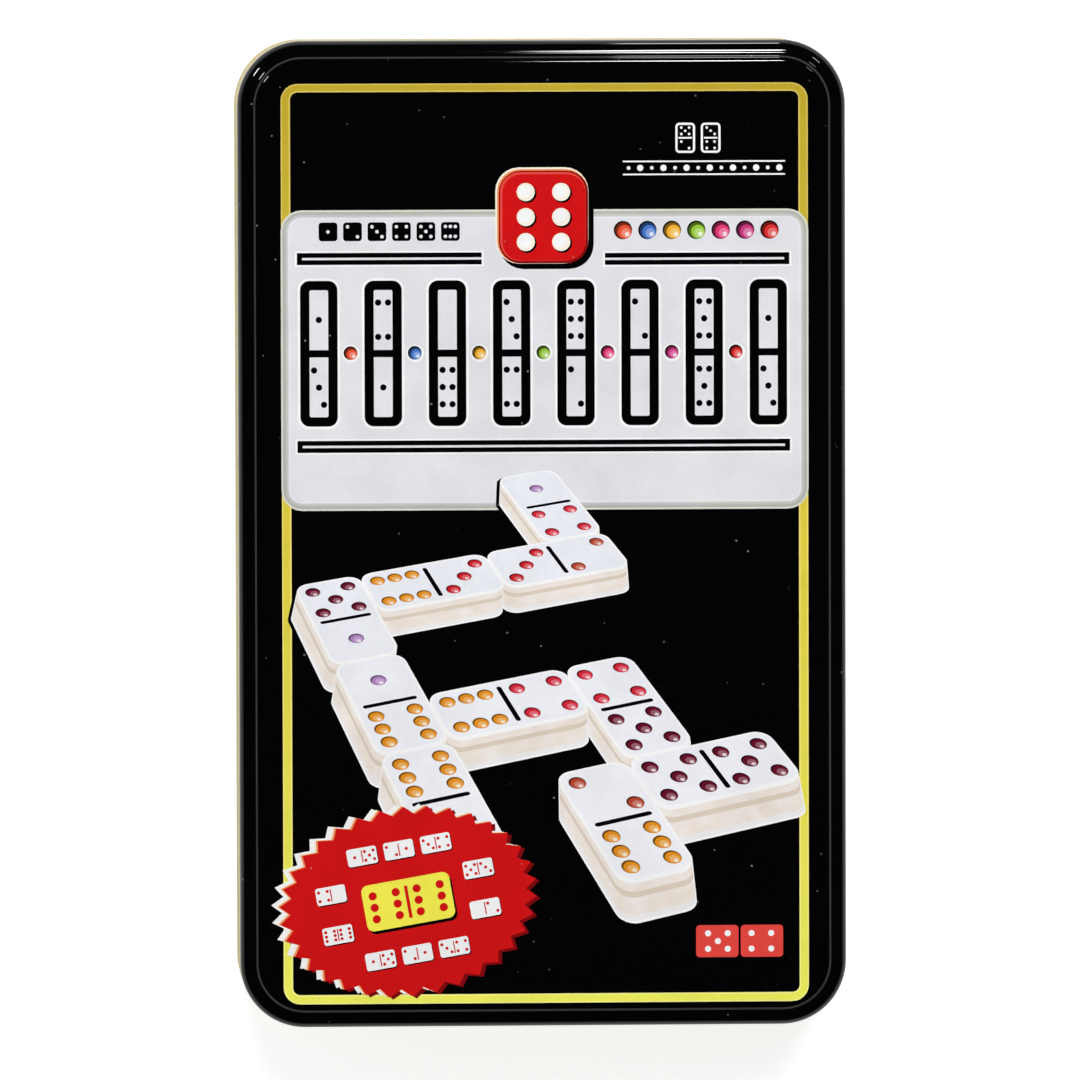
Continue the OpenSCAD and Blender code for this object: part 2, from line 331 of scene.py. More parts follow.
def pan(name, body, node, outer, inner, materials, zone):
    """A closed pan of sheet metal from its outer and inner faces' profiles, each from the middle plate to
    the free edge. zone(face, z) gives the material's number: face is 0 outside and 1 inside."""
    loop = [(p, 0) for p in outer] + [(p, 1) for p in reversed(inner)]
    bm = bmesh.new()
    rings = [[bm.verts.new(p) for p in ring_of(x, z)] for (x, z), face in loop]
    count = len(rings[0])
    for r in range(len(rings) - 1):
        number = zone(loop[r + 1][1], (loop[r][0][1] + loop[r + 1][0][1]) / 2)
        for k in range(count):
            after = (k + 1) % count
            made = bm.faces.new((rings[r][k], rings[r + 1][k], rings[r + 1][after], rings[r][after]))
            made.material_index = number
    for ring, face in ((rings[0], 0), (rings[-1], 1)):
        made = bm.faces.new(ring)
        made.material_index = zone(face, ring[0].co.z / MM)
    bmesh.ops.recalc_face_normals(bm, faces=bm.faces)
    piece = object_of(bm, name, materials)
    smooth(piece, SHARP_BEND)
    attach(piece, body)
    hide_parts(node)
    return piece


def smooth(piece, degrees):
    """Smooth shading, but for edges that turn by more than this."""
    piece.data.shade_smooth()
    piece.data.set_sharp_from_angle(angle=math.radians(degrees))


def object_of(bm, name, materials):
    mesh = bpy.data.meshes.new(name)
    bm.to_mesh(mesh)
    bm.free()
    for material in materials:
        mesh.materials.append(material)
    piece = bpy.data.objects.new(name, mesh)
    bpy.context.scene.collection.objects.link(piece)
    return piece


def lid_shell(outside, skirt, inside):
    panel_x = CORNER - SHOULDER - LEDGE - STEP_W
    step = [(panel_x + x, TOP - z) for x, z in s_bend(STEP_W, STEP_H)]
    outer = profile(
        [(panel_x - FLAT_BESIDE_STEP, TOP)], step,
        arc((CORNER - SHOULDER, LEDGE_Z - SHOULDER), SHOULDER, 90, -90, 14),
        arc((CORNER - HEM, HEM_Z), HEM, 0, -HEM_TURN, 16))

    def zone(face, z):
        """The place in the list of materials: black down to the shoulder's end, gold under it and inside."""
        if face == 1:
            return 2
        return 0 if z > LEDGE_Z - SHOULDER else 1

    inner = moved_right(outer, PLATE)
    piece = pan("lid_shell", "lid", "lid", outer, inner, [outside, skirt, inside], zone)


def base_shell(outside, inside):
    ring_x = CORNER - FOOT - FOOT_W
    slope = [(ring_x - FOOT_SLOPE + x, FOOT_H - z) for x, z in s_bend(FOOT_SLOPE, FOOT_H)]
    neck = [(CORNER - z, HEM_Z - NECK_SLOPE + x) for x, z in s_bend(NECK_SLOPE, CORNER - NECK_X)]
    outer = profile(
        [(slope[0][0] - FLAT_BESIDE_STEP, FOOT_H)], slope,
        arc((CORNER - FOOT, FOOT), FOOT, -90, 90, 12),
        neck,
        arc((NECK_X - RIM, RIM_Z), RIM, 0, RIM_TURN, 20))
    inner = moved_right(outer, -PLATE)
    piece = pan("base_shell", "base", "base_tin", outer, inner, [outside, inside], lambda face, z: face)


# ---- Flat shapes for the print, in millimetres ----

def circle(x, y, r, points=24):
    return [(x + r * math.cos(2 * math.pi * k / points), y + r * math.sin(2 * math.pi * k / points))
            for k in range(points)]


def rectangle(x0, y0, x1, y1, r=0.0, steps=6):
    """A rectangle with rounded corners, counter-clockwise."""
    if not r:
        return [(x0, y0), (x1, y0), (x1, y1), (x0, y1)]
    centres = ((x1 - r, y1 - r), (x0 + r, y1 - r), (x0 + r, y0 + r), (x1 - r, y0 + r))
    return [p for k, c in enumerate(centres) for p in arc(c, r, 90 * k, 90, steps)]


def turned(points, degrees, x=0.0, y=0.0):
    """The points turned about the origin and then moved by x and y."""
    c, s = math.cos(math.radians(degrees)), math.sin(math.radians(degrees))
    return [(x + c * u - s * v, y + s * u + c * v) for u, v in points]


def shifted(points, x, y):
    return [(u + x, v + y) for u, v in points]


def hull(points):
    return [points[k] for k in geometry.convex_hull_2d([Vector(p) for p in points])]


def burst(points, deep, half_w, half_h):
    """A star with many short points inside an ellipse."""
    out = []
    for k in range(2 * points):
        a = math.pi * k / points
        r = 1.0 if k % 2 == 0 else 1.0 - deep
        out.append((half_w * r * math.cos(a), half_h * r * math.sin(a)))
    return out


INSIDE_ONLY = 1        # delaunay_2d_cdt then gives the triangles inside the outlines
SAME_PLACE = 1e-5      # corners closer than this become one
SPOT_PLACES = {
    0: [], 1: [(0, 0)], 2: [(-1, 1), (1, -1)], 3: [(0, 0), (-1, 1), (1, -1)],
    4: [(-1, 1), (1, -1), (1, 1), (-1, -1)], 5: [(0, 0), (-1, 1), (1, -1), (1, 1), (-1, -1)],
    6: [(-1, 1), (1, -1), (1, 1), (-1, -1), (0, 1), (0, -1)]}


class Print:
    """Flat inked shapes, later ones over earlier ones, made into one sheet with no two layers in a place."""

    def __init__(self):
        self.shapes = []
        self.inks = []

    def put(self, ink, points):
        if ink not in self.inks:
            self.inks.append(ink)
        area = sum(a[0] * b[1] - b[0] * a[1] for a, b in zip(points, points[1:] + points[:1]))
        self.shapes.append((points if area > 0 else points[::-1], self.inks.index(ink)))

    def piece(self, name, body, z):
        corners, outlines = [], []
        for points, _ in self.shapes:
            outlines.append(list(range(len(corners), len(corners) + len(points))))
            corners += [Vector(p) for p in points]
        places, _, faces, _, _, owners = geometry.delaunay_2d_cdt(
            corners, [], outlines, INSIDE_ONLY, SAME_PLACE)
        bm = bmesh.new()
        verts = [bm.verts.new((p.x * MM, p.y * MM, z * MM)) for p in places]
        for face, own in zip(faces, owners):
            if own:
                made = bm.faces.new([verts[k] for k in face])
                made.material_index = self.shapes[max(own)][1]
        bmesh.ops.delete(bm, geom=[v for v in bm.verts if not v.link_faces], context="VERTS")
        made = object_of(bm, name, self.inks)
        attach(made, body)
        return made


# ---- The lid's print ----

FRAME_MID = (0.43, -1.76)   # middle of the yellow frame line, from the middle of the lid
FRAME_W, FRAME_L = 101.3, 177.1
FRAME_LINE = 1.8            # its width
FRAME_FAR = 0.9             # the far run's width, as a share of that
FRAME_R = 3.2
FRAME_RIM = (0.25, 0.3)     # width of the line's light edges, outside and inside
CARD = (-50.3, 4.8, 51.15, 62.55)   # the pale panel: left, bottom, right, top
CARD_R = 4.0
RULES_X = 47.2              # where the black rules end, left and right
RULES = (                   # each rule's closed end, its open end and its height
    (-RULES_X, -11.7, 53.2), (RULES_X + 0.3, 12.0, 53.0), (-RULES_X, RULES_X + 0.4, 17.1))
RULE_HALF, RULE_EDGE_HALF = 1.15, 1.5   # half a rule's width, without and with its white edge
RULE_EDGE = 0.4             # how far that edge stands out at the ends
RULE_LINE_HALF, RULE_LINE_AT = 0.22, 1.0   # half the white line's width; where it starts in the bar
BEAD_Y = 35.0
BEAD_R, BEAD_HALO = 1.2, 1.7
TALL_TILES = 8
TALL_PITCH = 12.35
TALL_X = 0.2                # middle of the row of tall tiles
TALL_W, TALL_H = 7.2, 28.0
TALL_LINE = 1.8             # width of their outline
SMALL_Y, SMALL_HALF, SMALL_PITCH = 58.4, 1.8, 4.7   # the row of squares and balls over the rules
SQUARES_X, BALLS_X = -41.2, 15.6
MARK_X, MARK_Y, MARK_PITCH = 27.5, 76.2, 4.9        # the two small dominoes at the top right
MARK_W, MARK_H, MARK_LINE = 1.9, 2.9, 0.42          # half their width and height, and their line
DOTS, DOTS_X, DOTS_LENGTH, DOTS_Y = 14, 16.6, 29.0, 70.45   # the dots under them
MARK_LINES = (15.5, 46.7, (71.7, 69.2))             # and the two lines: from, to and their heights
BURST_AT, BURST_TILT = (-26.2, -70.6), 10.0
BALL_SHADES = (             # shade, size and lean to the lower right, as shares of the ball's radius
    ("deep", 1.0, 0.0), ("plain", 0.82, 0.13), ("warm", 0.56, 0.27), ("light", 0.27, 0.42))
PRINT_ABOVE = 0.02          # height of the print over the face under it


def frame_gold(n):
    """Old gold at the far end to lemon yellow at the near end."""
    return far_to_near(n, (191, 166, 48), (227, 208, 67), (246, 246, 98))


def frame_edge(n):
    return far_to_near(n, (218, 196, 98), (250, 230, 124), (254, 252, 148))


def far_to_near(n, far, middle, near):
    """Three colours in a slow change along the lid."""
    share = n.spread(n.axis("Y"), -0.09, 0.09)
    lower = n.mix(n.spread(share, 0.0, 0.5), srgb(*near), srgb(*middle))
    return n.mix(n.spread(share, 0.5, 1.0), lower, srgb(*far))


def card_white(n):
    cloud = n.mix(n.spread(n.noise(0.02, 1.0), 0.4, 0.6), srgb(235, 235, 239), srgb(231, 231, 236))
    return n.mix(n.spread(n.noise(2.2, 3.0, 0.7), 0.3, 0.7, 0.0, 0.3), cloud, srgb(217, 217, 223))


def tile_top(n):
    """The drawn tiles' faces: cool and a little grey far off, white near by, with a fine printed grain."""
    face = far_to_near(n, (222, 226, 238), (238, 240, 248), (250, 250, 254))
    return n.mix(n.spread(n.noise(0.9, 4.0, 0.7), 0.35, 0.65, 0.0, 0.35), face, srgb(252, 252, 255))


def tile_side(n):
    """Their sides: cream with a soft warm cloud."""
    return n.mix(n.spread(n.noise(0.25, 4.0, 0.65), 0.35, 0.65), srgb(240, 228, 216), srgb(246, 240, 234))


INK_COLOURS = {
    "ink_black": srgb(3, 3, 4),
    "ink_white": srgb(250, 250, 250),
    "ink_card_edge": srgb(224, 224, 212),
    "ink_card_bevel": srgb(184, 186, 177),
    "ink_card_slope": srgb(198, 199, 195),
    "ink_card_turn": srgb(212, 212, 213),
    "ink_card_light": srgb(239, 238, 243),
    "ink_red": srgb(212, 22, 24),
    "ink_dark_red": srgb(132, 12, 16),
    "ink_light_red": srgb(232, 74, 66),
    "ink_cream": srgb(252, 242, 226),
    "ink_orange": srgb(244, 150, 92),
    "ink_lemon": srgb(250, 242, 84),
    "ink_tile_rim": srgb(253, 253, 254),
    "ink_tile_foot": srgb(224, 210, 194),
    "ink_tile_turn": srgb(243, 240, 240),
}
INK_PATTERNS = {
    "ink_frame": frame_gold, "ink_frame_edge": frame_edge, "ink_card": card_white,
    "ink_tile_top": tile_top, "ink_tile_side": tile_side}
BEAD_COLOURS = [(232, 84, 52), (72, 120, 205), (245, 178, 50), (150, 200, 60), (228, 60, 120),
                (205, 60, 130), (225, 50, 50)]
SPOT_COLOURS = {1: (176, 130, 190), 2: (188, 74, 52), 3: (206, 32, 44), 4: (214, 40, 60), 5: (104, 20, 44),
                6: (232, 146, 34)}
PAINT_COLOURS = {1: (120, 96, 170), 2: (30, 120, 60), 3: (190, 24, 36), 4: (150, 70, 30), 5: (24, 60, 150),
                 6: (226, 132, 20)}


def make_inks():
    inks = {name: glossy_sheet(name, colour) for name, colour in (INK_COLOURS | INK_PATTERNS).items()}
    for kind, colours in (("bead", enumerate(BEAD_COLOURS)), ("spot", SPOT_COLOURS.items())):
        for k, colour in colours:
            for shade, made in (("deep", [c * 0.5 for c in colour]), ("plain", colour),
                                ("warm", lighter(colour, 0.32)), ("light", lighter(colour, 0.82))):
                name = f"ink_{kind}_{shade}_{k}"
                inks[name] = glossy_sheet(name, srgb(*made))
    return inks


def lighter(colour, share):
    return tuple(c + (255 - c) * share for c in colour)


def print_frame(sheet, inks):
    for inset, ink in ((0, "ink_frame_edge"), (FRAME_RIM[0], "ink_frame"),
                       (FRAME_LINE - FRAME_RIM[1], "ink_frame_edge"), (FRAME_LINE, "ink_black")):
        x, near, far = FRAME_W / 2 - inset, FRAME_L / 2 - inset, FRAME_L / 2 - inset * FRAME_FAR
        sheet.put(inks[ink], rectangle(FRAME_MID[0] - x, FRAME_MID[1] - near, FRAME_MID[0] + x,
                                       FRAME_MID[1] + far, FRAME_R - inset))


def print_card(sheet, inks):
    """The pale panel with its bevelled edge."""
    x0, y0, x1, y1 = CARD
    for inset, ink in ((0, "ink_card_edge"), (0.35, "ink_card_bevel"), (0.85, "ink_card_slope"),
                       (1.2, "ink_card_turn"), (1.45, "ink_card_light"), (1.7, "ink_card")):
        sheet.put(inks[ink], rectangle(x0 + inset, y0 + inset, x1 - inset, y1 - inset, CARD_R - inset))


def print_rule(sheet, inks, closed_x, open_x, y):
    """A black bar with a white line in it that runs out at the bar's open end."""
    x0, x1 = sorted((closed_x, open_x))
    way = 1 if open_x > closed_x else -1
    sheet.put(inks["ink_white"], rectangle(x0 - RULE_EDGE, y - RULE_EDGE_HALF, x1 + RULE_EDGE,
                                           y + RULE_EDGE_HALF))
    sheet.put(inks["ink_black"], rectangle(x0, y - RULE_HALF, x1, y + RULE_HALF))
    a, b = sorted((closed_x + way * RULE_LINE_AT, open_x))
    sheet.put(inks["ink_card"], rectangle(a, y - RULE_LINE_HALF, b, y + RULE_LINE_HALF))


def print_spots(sheet, ink, count, x, y, pitch_x, pitch_y, r):
    """A number's round spots about their middle."""
    for u, v in SPOT_PLACES[count]:
        sheet.put(ink, circle(x + u * pitch_x, y + v * pitch_y, r, points=16))


def print_tall_tile(sheet, inks, x, y, upper, lower):
    """A tall domino in black outline, in the title's place."""
    w, h = TALL_W / 2, TALL_H / 2
    for inset, r, ink in ((-0.5, 2.3, "ink_white"), (0, 1.8, "ink_black"), (TALL_LINE, 0.35, "ink_card")):
        sheet.put(inks[ink], rectangle(x - w + inset, y - h + inset, x + w - inset, y + h - inset, r))
    sheet.put(inks["ink_black"], rectangle(x - w + 0.5, y - 0.7, x + w - 0.5, y + 0.7))
    for count, side in ((upper, 1), (lower, -1)):
        middle = y + side * (h / 2 - 0.5)
        for u, v in SPOT_PLACES[count]:
            sheet.put(inks["ink_black"], circle(x + v * 0.95, middle + u * 3.3, 0.62, points=16))


def print_ball(sheet, inks, name, x, y, r):
    """A coloured ball in a black ring, lit from the lower right."""
    sheet.put(inks["ink_black"], circle(x - 0.12, y + 0.12, r * 1.1))
    for shade, size, lean in BALL_SHADES:
        sheet.put(inks[name.format(shade)], circle(x + lean * r, y - lean * r, r * size, points=20))


def print_title(sheet, inks):
    """The three rules and, between them, the row of tall tiles with a bead in each gap."""
    for closed_x, open_x, y in RULES:
        print_rule(sheet, inks, closed_x, open_x, y)
    sheet.put(inks["ink_black"], rectangle(RULES_X - 0.6, 16.0, RULES_X + 0.4, 18.2))
    for k in range(TALL_TILES):
        x = (k - (TALL_TILES - 1) / 2) * TALL_PITCH + TALL_X
        print_tall_tile(sheet, inks, x, BEAD_Y, (3 * k + 1) % 7, (5 * k + 3) % 7)
        if k:
            sheet.put(inks["ink_white"], circle(x - TALL_PITCH / 2, BEAD_Y, BEAD_HALO))
            print_ball(sheet, inks, f"ink_bead_{{}}_{k - 1}", x - TALL_PITCH / 2, BEAD_Y, BEAD_R)


def print_small_rows(sheet, inks):
    """Over the rules: little squares with spots on the left, coloured balls on the right."""
    y, half = SMALL_Y, SMALL_HALF
    for k in range(6):
        x = SQUARES_X + SMALL_PITCH * k
        sheet.put(inks["ink_black"], rectangle(x - half, y - half, x + half, y + half, 0.6))
        print_spots(sheet, inks["ink_card"], k + 1, x, y, 0.95, 0.95, 0.34)
    for k in range(len(BEAD_COLOURS)):
        print_ball(sheet, inks, f"ink_bead_{{}}_{k}", BALLS_X + SMALL_PITCH * k, y, half * 0.9)


def print_badge(sheet, inks):
    """A red cushion with six spots, half over the card."""
    x, y, w, h, r = 0.2, 61.1, 8.6, 8.9, 4.2
    for dx, dy, inset, ink in (
            (0.55, -0.6, -0.5, "ink_black"), (-0.3, 0.3, -0.35, "ink_cream"),
            (-0.15, 0.15, -0.15, "ink_orange"), (0, 0, 0, "ink_dark_red"),
            (-0.1, 0.1, 0.35, "ink_light_red"), (0.1, -0.1, 0.6, "ink_red")):
        sheet.put(inks[ink], rectangle(x + dx - w + inset, y + dy - h + inset, x + dx + w - inset,
                                       y + dy + h - inset, r - inset))
    for u, v in SPOT_PLACES[6]:
        px, py = x + v * 3.4, y + u * 4.8
        sheet.put(inks["ink_black"], circle(px + 0.25, py - 0.25, 1.85))
        sheet.put(inks["ink_cream"], circle(px, py, 1.75))
        sheet.put(inks["ink_white"], circle(px - 0.15, py + 0.2, 1.25))


def print_corner_mark(sheet, inks):
    """White: two small dominoes over a row of dots between hairlines."""
    w, h = MARK_W, MARK_H
    for k, (a, b) in enumerate(((2, 5), (4, 3))):
        x, y = MARK_X + MARK_PITCH * k, MARK_Y
        for inset, ink in ((0, "ink_white"), (MARK_LINE, "ink_black")):
            sheet.put(inks[ink], rectangle(x - w + inset, y - h + inset, x + w - inset, y + h - inset,
                                           0.8 - inset))
        sheet.put(inks["ink_white"], rectangle(x - 1.3, y - 0.16, x + 1.3, y + 0.16))
        for count, side in ((a, -1), (b, 1)):
            print_spots(sheet, inks["ink_white"], count, x, y + side * 1.35, 0.75, 0.62, 0.25)
    x0, x1, heights = MARK_LINES
    for y in heights:
        sheet.put(inks["ink_white"], rectangle(x0, y - 0.15, x1, y + 0.15))
    for k in range(DOTS):
        x = DOTS_X + DOTS_LENGTH / (DOTS - 1) * k
        sheet.put(inks["ink_white"], circle(x, DOTS_Y, 0.62 if k % 2 else 0.36, points=14))


def print_burst(sheet, inks):
    """A red burst with rows of small dominoes in it, tilted."""
    (x, y), tilt = BURST_AT, BURST_TILT
    outline = burst(34, 0.085, 25.0, 18.3)
    for dx, dy, ink in ((0.7, -0.4, "ink_dark_red"), (-1.6, 0.4, "ink_white"), (-0.75, 0.2, "ink_cream"),
                        (-0.35, 0.1, "ink_orange"), (0.0, 0.0, "ink_red")):
        sheet.put(inks[ink], turned(outline, tilt, x + dx, y + dy))
    rows = ((10.2, (-7.2, 0.0, 7.2)), (3.9, (-14.4, 14.4)), (-3.9, (-14.4, 14.4)), (-10.2, (-7.2, 0.0, 7.2)))
    number = 1
    for v, places in rows:
        for u in places:
            print_flat_tile(sheet, inks, turned([(u, v)], tilt, x, y)[0], tilt, 2.9, 1.7, "ink_white",
                            number % 7, (number * 3 + 2) % 7)
            number += 1
    print_flat_tile(sheet, inks, (x, y), tilt, 8.6, 4.5, "ink_lemon", 6, 6)


def print_flat_tile(sheet, inks, place, tilt, half_w, half_h, ink, left, right):
    """A small domino seen flat, with a dark edge low on the right."""
    x, y = place
    r = half_h * 0.3
    for dx, dy, colour in ((half_h * 0.1, -half_h * 0.12, "ink_black"), (0, 0, ink)):
        sheet.put(inks[colour], turned(rectangle(-half_w, -half_h, half_w, half_h, r), tilt, x + dx, y + dy))
    bar = rectangle(-half_h * 0.07, -half_h * 0.7, half_h * 0.07, half_h * 0.7)
    sheet.put(inks["ink_red"], turned(bar, tilt, x, y))
    for count, side in ((left, -1), (right, 1)):
        for u, v in SPOT_PLACES[count]:
            centre = turned([(side * half_w * 0.5 + v * half_h * 0.5, u * half_h * 0.5)], tilt, x, y)[0]
            sheet.put(inks["ink_red"], circle(*centre, half_h * 0.18, points=14))


def print_label(sheet, inks):
    """A small red label in two halves."""
    x, y, w, h = 37.7, -78.6, 8.4, 3.1
    for side, count in ((-1, 5), (1, 4)):
        a, b = sorted((x + side * 0.22, x + side * w))
        sheet.put(inks["ink_light_red"], rectangle(a, y - h, b, y + h, 0.7))
        print_spots(sheet, inks["ink_white"], count, x + side * (w / 2), y, 1.9, 1.5, 0.6)


# ---- The picture of thick tiles ----

PICTURE_AT = (-73.0, -0.5)      # the corner of place 0, 0, before it is drawn in depth
STEP_RIGHT = (13.5, 2.7)        # one tile's width along the picture's rows
STEP_DOWN = (5.7, -8.9)         # and down its columns
NEAR_Y = -35.0                  # where the picture has its own scale; it shrinks with distance from there
DEPTH = 0.0042                  # how fast it shrinks
TILE_DROP = 6.2                 # how thick the drawn tiles are
TILE_GAP, TILE_R = 0.012, 0.2   # half the gap between them and their corner radius, of one width
THICK_LAYERS = (                # a side's bands: how far down each reaches, as a share of TILE_DROP
    (0.96, "ink_tile_turn"), (0.82, "ink_tile_side"), (0.42, "ink_tile_foot"), (0.28, "ink_tile_side"),
    (0.08, "ink_tile_rim"))
SPOT_SHADES = (                 # shade, radius and shift to the near side, as shares of a tile's width
    ("deep", 0.112, 0.0), ("plain", 0.098, 0.016), ("warm", 0.062, 0.036), ("light", 0.03, 0.066))
CHAIN = [                       # column, row, way, and the two numbers; from the back to the front
    (5, -1, "down", 1, 4), (4, 1, "right", 3, 2), (2, 1, "right", 6, 3), (1, 1, "down", 5, 1),
    (4, 4, "down", 4, 5), (2, 4, "right", 6, 4), (1, 3, "down", 1, 6), (4, 6, "right", 5, 5),
    (3, 6, "down", 2, 6), (1, 5, "down", 6, 3)]


def drawn(i, j, drop=0.0):
    """Where a place on the picture's grid lies on the lid."""
    x = PICTURE_AT[0] + i * STEP_RIGHT[0] + j * STEP_DOWN[0]
    y = PICTURE_AT[1] + i * STEP_RIGHT[1] + j * STEP_DOWN[1] - drop
    near = 1 / (1 + DEPTH * (y - NEAR_Y))
    return x * near, NEAR_Y + (y - NEAR_Y) * near


def tile_outline(i, j, way, inset=0.0, drop=0.0):
    """A thick tile's outline at a share of its thickness under its face."""
    long, wide = (2, 1) if way == "right" else (1, 2)
    edge = TILE_GAP + inset
    shape = rectangle(i + edge, j + edge, i + long - edge, j + wide - edge, TILE_R - inset)
    return [drawn(u, v, drop * TILE_DROP) for u, v in shape]


def print_thick_tile(sheet, inks, i, j, way, a, b):
    """A thick tile at a place of the picture's grid, with its two numbers."""
    long, wide = (2, 1) if way == "right" else (1, 2)

    def outline(inset, drop=0.0):
        return tile_outline(i, j, way, inset, drop)

    top = outline(0)
    sheet.put(inks["ink_tile_rim"], hull(outline(-0.012) + outline(-0.012, 1.0)))
    for drop, ink in THICK_LAYERS:
        sheet.put(inks[ink], hull(top + outline(0, drop)))
    sheet.put(inks["ink_tile_top"], outline(0.025))
    middle = (i + long / 2, j + wide / 2)
    bar = rectangle(-0.035, -0.38, 0.035, 0.38, 0.035, 4)
    if way == "down":
        bar = turned(bar, 90)
    sheet.put(inks["ink_black"], [drawn(middle[0] + u, middle[1] + v) for u, v in bar])
    for count, side in ((a, -0.5), (b, 0.5)):
        cx = middle[0] + (side if way == "right" else 0)
        cy = middle[1] + (side if way == "down" else 0)
        for u, v in SPOT_PLACES[count]:
            if way == "down":
                u, v = v, -u
            x, y = cx + u * 0.27, cy + v * 0.27
            for shade, size, near in SPOT_SHADES:
                sheet.put(inks[f"ink_spot_{shade}_{count}"],
                          [drawn(*p) for p in circle(x + near * 0.3, y + near, size, points=18)])


def lid_print():
    """All of the lid's print. The picture's shadows go under all of its tiles."""
    inks = make_inks()
    sheet = Print()
    print_frame(sheet, inks)
    print_card(sheet, inks)
    print_title(sheet, inks)
    print_small_rows(sheet, inks)
    print_badge(sheet, inks)
    print_corner_mark(sheet, inks)
    for i, j, way, _, _ in CHAIN:
        shade = hull(tile_outline(i, j, way) + tile_outline(i, j, way, drop=1.0))
        sheet.put(inks["ink_black"], shifted(shade, -0.8, -0.2))
    for tile in CHAIN:
        print_thick_tile(sheet, inks, *tile)
    print_burst(sheet, inks)
    print_label(sheet, inks)
    piece = sheet.piece("lid_print", "lid", TOP + PRINT_ABOVE)


# ---- The leaflet's print: small diagrams and grey lines in place of text ----

LEAF_COLOURS = {"leaf_paper": PAPER, "leaf_dark": (38, 38, 44), "leaf_red": (196, 36, 40),
                "leaf_grey": (150, 150, 154)}
DIAGRAM_TILE = 3.3              # width of a diagram's tile
DIAGRAM_PITCH = (31, 37)        # from one diagram to the next, across and down
GREY_PITCH = 2.3                # from one grey line to the next
LAYOUTS = (                     # the diagrams' tiles: column, row and 1 for lying across
    ((0, 0, 1), (2, 0, 1), (4, 0, 0), (3, 2, 1), (1, 2, 1)),
    ((2, -1, 0), (0, 1, 1), (2, 1, 1), (4, 1, 1), (2, 2, 0)),
    ((0, 0, 0), (1, 1, 1), (3, 0, 0), (4, 1, 1), (0, 2, 0)),
    ((0, 1, 1), (2, 1, 0), (3, 0, 1), (3, 2, 1), (5, 1, 0)))


def print_diagram(sheet, inks, x, y, tiles):
    """A framed diagram of tiles."""
    unit = DIAGRAM_TILE
    for w, h, r, ink in ((14.5, 9.5, 1.5, "leaf_dark"), (14.2, 9.2, 1.2, "leaf_paper")):
        sheet.put(inks[ink], rectangle(x - w, y - h, x + w, y + h, r))
    for i, j, across in tiles:
        w, h = (2, 1) if across else (1, 2)
        left, top = x + (i - 3) * unit, y - (j - 1.5) * unit
        right, bottom = left + w * unit, top - h * unit
        for inset, ink in ((0.12, "leaf_dark"), (0.38, "leaf_paper")):
            sheet.put(inks[ink], rectangle(left + inset, bottom + inset, right - inset, top - inset, 0.6))
        mid_x, mid_y = (left + right) / 2, (top + bottom) / 2
        bar_x, bar_y = (0.1, unit * 0.36) if across else (unit * 0.36, 0.1)
        sheet.put(inks["leaf_dark"], rectangle(mid_x - bar_x, mid_y - bar_y, mid_x + bar_x, mid_y + bar_y))
        for side in (-1, 1):
            u, v = (side, 0) if across else (0, side)
            spot = circle(mid_x + u * unit / 2, mid_y + v * unit / 2, 0.42, points=12)
            sheet.put(inks["leaf_red"], spot)


def leaflet_print():
    """A dark heading with four dominoes, and under it four diagrams with grey lines."""
    inks = {name: paper(name, colour) for name, colour in LEAF_COLOURS.items()}
    low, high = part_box("leaflet")
    mid_x, mid_y = (low.x + high.x) / 2 / MM, (low.y + high.y) / 2 / MM
    sheet = Print()
    x0, x1 = mid_x - 30, mid_x + 30
    top = mid_y + 47
    sheet.put(inks["leaf_dark"], rectangle(x0, top - 13, x1, top, 2.0))
    for k in range(4):
        x = mid_x - 21 + 14 * k
        sheet.put(inks["leaf_paper"], rectangle(x - 5.6, top - 9.3, x + 5.6, top - 3.7, 1.0))
        sheet.put(inks["leaf_dark"], rectangle(x - 0.2, top - 8.6, x + 0.2, top - 4.4))
        for side in (-1, 1):
            print_spots(sheet, inks["leaf_red"], (k * 2 + side) % 7, x + side * 2.9, top - 6.5, 1.5, 1.5, 0.5)
    for k, tiles in enumerate(LAYOUTS):
        column, row = k % 2, k // 2
        x, y = mid_x - 15.5 + DIAGRAM_PITCH[0] * column, top - 25 - DIAGRAM_PITCH[1] * row
        print_diagram(sheet, inks, x, y, tiles)
        for line in range(5):
            length = 29 if line < 4 else 13 + 5 * k % 9
            level = y - 12.3 - GREY_PITCH * line
            sheet.put(inks["leaf_grey"], rectangle(x - 14.5, level - 0.35, x - 14.5 + length, level + 0.35))
    piece = sheet.piece("leaflet_print", "leaflet", high.z / MM + PRINT_ABOVE)


# ---- Contents ----

def dress(node, material):
    """The CAD node with this material alone."""
    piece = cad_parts[node]
    piece.data.materials.clear()
    piece.data.materials.append(material)
    return piece


AT_FACE = 0.01         # faces at most this far under a tile's top are its flat face, in millimetres
SPOTS_DEEP = 0.7       # and spots and groove lie less deep than this
BESIDE_GROOVE = 0.01   # a face this close to the groove still counts as in it


